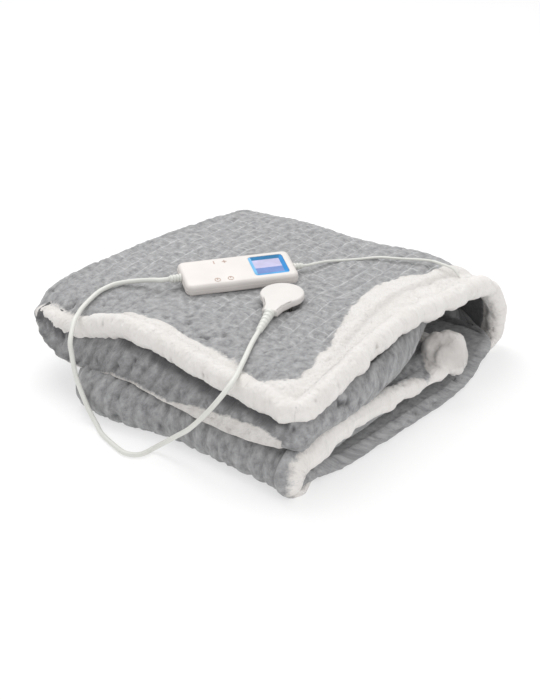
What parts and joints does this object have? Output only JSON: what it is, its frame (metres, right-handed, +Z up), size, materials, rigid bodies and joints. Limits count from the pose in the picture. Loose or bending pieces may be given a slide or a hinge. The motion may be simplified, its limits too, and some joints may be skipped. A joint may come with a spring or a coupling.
{
  "type": "electric heated blanket",
  "caption": "Folded heated throw with a thick pale hem, its hand controller and mains cord with a flat plug lying on top.",
  "frame": {"origin": "centre of the folded blanket's underside, on the surface it lies on", "axes": "+Z up through the stack, +X along the folded strip towards its round turn, -Y towards the hem side"},
  "size_m": [0.4808, 0.4312, 0.1267],
  "materials": {
    "flannel": "short brushed pile, with a pale sherpa hem",
    "controller_case": "fine moulded satin",
    "window": "glossy lit display",
    "cord_rubber": "smooth satin",
    "pin_metal": "polished"
  },
  "bodies": {
    "root": {"blanket": "flannel", "controller_case": "controller_case", "controller_window": "window", "gland_lead": "cord_rubber", "gland_mains": "cord_rubber", "lead": "cord_rubber", "mains_cord": "cord_rubber", "plug_body": "cord_rubber", "plug_pin_a": "pin_metal", "plug_pin_b": "pin_metal", "plug_sleeve": "cord_rubber"}
  },
  "joints": []
}
